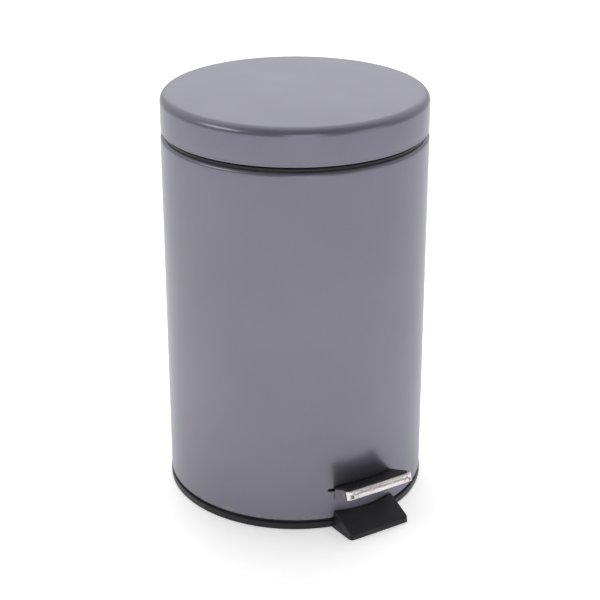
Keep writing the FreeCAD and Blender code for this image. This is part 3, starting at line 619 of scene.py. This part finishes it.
def tray_wall(path, lengths, corner_at, k, share):
    """A point of the skirt, at its share of the way down.

    It is buckled at the front corners, where the steel was folded, drawn in a little at half height, and
    pulled back along the wall at its two rear ends.
    """
    p, side = path[k], outward(path, k)
    depth = flange_depth(p.y)
    drop = TRAY_FOLD + (depth - TRAY_FOLD) * share
    away = min(abs(lengths[k] - corner_at), abs(lengths[-1] - lengths[k] - corner_at))
    near = max(0.0, 1 - (away / BUCKLE_REACH) ** 2)
    wave = 0.5 - 0.5 * math.cos(2 * math.pi * away / BUCKLE_WAVE)
    buckle = BUCKLE_DEPTH * near * share ** 0.8 * wave
    hollow = SKIRT_HOLLOW * (1 - share ** 3) * min(1.0, share * 2)
    pull = buckle + hollow + TRAY_INSET
    back_end = max(0.0, 1 - min(lengths[k], lengths[-1] - lengths[k]) / BACK_REACH)
    return on_tread(p.x - side.x * pull, p.y - side.y * pull + BACK_SHIFT * share * back_end, -drop)


def add_tray():
    """Chromed tray under the pad: folded skirt, buckled corners, tread plate and neck to the lever."""
    left = rounded(TRAY_CORNERS)
    path = mirrored(left)
    lengths = [0.0]
    for a, b in zip(path, path[1:]):
        lengths.append(lengths[-1] + (b - a).length)
    corner_at = lengths[min(range(len(left)), key=lambda k: left[k].x + left[k].y)]
    count = len(path)
    points, faces = [], []
    for inset, rise in arc(TRAY_FOLD, TRAY_FOLD, TRAY_FOLD, 90, 180, FOLD_ROWS):
        pull = inset + TRAY_INSET
        for k, p in enumerate(path):
            side = outward(path, k)
            points.append(on_tread(p.x - side.x * pull, p.y - side.y * pull, rise - 2 * TRAY_FOLD))
    for row in range(1, SKIRT_ROWS + 1):
        points += [tray_wall(path, lengths, corner_at, k, row / SKIRT_ROWS) for k in range(count)]
    for row in range(FOLD_ROWS + SKIRT_ROWS):
        for k in range(count - 1):
            at = row * count + k
            faces.append([at, at + 1, at + count + 1, at + count])
    across = PLATE_STEPS
    rows = count // 2 + 1
    first = len(points)
    for k in range(rows):
        a, b = Vector(points[k]), Vector(points[count - 1 - k])
        fade = max(0.0, 1 - lengths[k] / PLATE_REACH)
        for step in range(across + 1):
            p = a.lerp(b, step / across)
            bend = (wall_on_tread(p.x) - wall_on_tread(a.x)) * fade
            points.append((p.x, p.y + bend * math.cos(PEDAL_TILT), p.z - bend * math.sin(PEDAL_TILT)))
    for k in range(rows - 1):
        for step in range(across):
            at = first + k * (across + 1) + step
            faces.append([at, at + 1, at + across + 2, at + across + 1])
    neck_strip(points, faces)
    mesh = mesh_from("tray_steel", points, faces)
    piece = new_piece("tray_steel", mesh, "pedal_tray", "pedal", "chromed_steel")
    add_thickness(piece, TRAY_STEEL)


# Rows of the neck's underside: y, half width and height.
NECK_ROWS = (
    (-131, 30.6, 43.1), (-125, 30.6, 40.6), (-120, 30.6, 38.6), (-117, 30.6, 37.9),
    (-112, 30.6, 37.5), (-109, 27.5, 37.4), (-103, 19.8, 37.4), (-97, 12.6, 37.4),
    (-94, 9.6, 37.4), (-92, 9.0, 37.4), (-80, 9.0, 37.4),
)
NECK_STEPS = 8


def neck_strip(points, faces):
    """Underside of the strip that runs from under the tread through the wall to the lever."""
    first = len(points)
    across = NECK_STEPS
    for y, half, z in NECK_ROWS:
        points += [(half * (2 * k / across - 1), y, z) for k in range(across + 1)]
    for row in range(len(NECK_ROWS) - 1):
        for k in range(across):
            at = first + row * (across + 1) + k
            faces.append([at, at + 1, at + across + 2, at + across + 1])


PAD_HALF = 33.1
PAD_FRONT = -32.7
PAD_CORNER = (-PAD_HALF, -31.7, 5.5)
PAD_GAP = 0.2
PAD_MIDDLE = Vector((0, -16))
PAD_ROUND = 0.6
PAD_TOP = 1.6


def pad_loop():
    """Closed outline of the pad: bowed front, round front corners and the wall's curve at the back."""
    rear_corner = (-PAD_HALF, wall_on_tread(PAD_HALF) - PAD_GAP, 0)
    front = mirrored(rounded([rear_corner, PAD_CORNER, (0, PAD_FRONT, 0)]))
    back = [Vector((PAD_HALF * (1 - k / 20), 0)) for k in range(1, 40)]
    return front + [Vector((p.x, wall_on_tread(p.x) - PAD_GAP)) for p in back]


def shrunk(loop, inset):
    """The pad's outline moved inwards."""
    moved = []
    for k, p in enumerate(loop):
        a = (p - loop[k - 1]).normalized()
        b = (loop[(k + 1) % len(loop)] - p).normalized()
        side = Vector((a.y + b.y, -a.x - b.x)).normalized()
        if side.dot(p - PAD_MIDDLE) > 0:
            side = -side
        moved.append(p + side * inset)
    return moved


def add_pad():
    """Moulded tread pad, in rows of inset and height: undercut edge, soft upper edge, flat top."""
    loop = pad_loop()
    sections = [(1.4, 0.02), (0.55, 0.02), (0.55, 0.42), (0.0, 0.56), (0.0, 1.02)]
    sections += [(PAD_ROUND - x, z) for x, z in arc(0, PAD_TOP - PAD_ROUND, PAD_ROUND, 15, 90, 4)]
    sections += [(1.4, PAD_TOP), (3.0, PAD_TOP)]
    points, faces = [], []
    for inset, z in sections:
        points += [on_tread(p.x, p.y, z) for p in shrunk(loop, inset)]
    count = len(loop)
    for row in range(len(sections) - 1):
        for k in range(count):
            at, after = row * count + k, row * count + (k + 1) % count
            faces.append([at, after, after + count, at + count])
    faces.append(list(range(count)))
    faces.append(list(range(len(points) - count, len(points))))
    new_piece("tread", mesh_from("tread", points, faces), "pedal_pad", "pedal", "tread_pad")


def dress_cad_nodes():
    """Gives every CAD node the procedural material of its slot."""
    slots = {row["node"]: row["material_slot"] for row in frame["record"]["subparts"]}
    for name, node in NODES.items():
        node.data.materials.clear()
        node.data.materials.append(MATERIALS[slots[name]])


dress_cad_nodes()
add_body()
add_lid()
add_tray()
add_pad()
add_stage()
add_camera()

bpy.context.scene.view_settings.view_transform = "Standard"
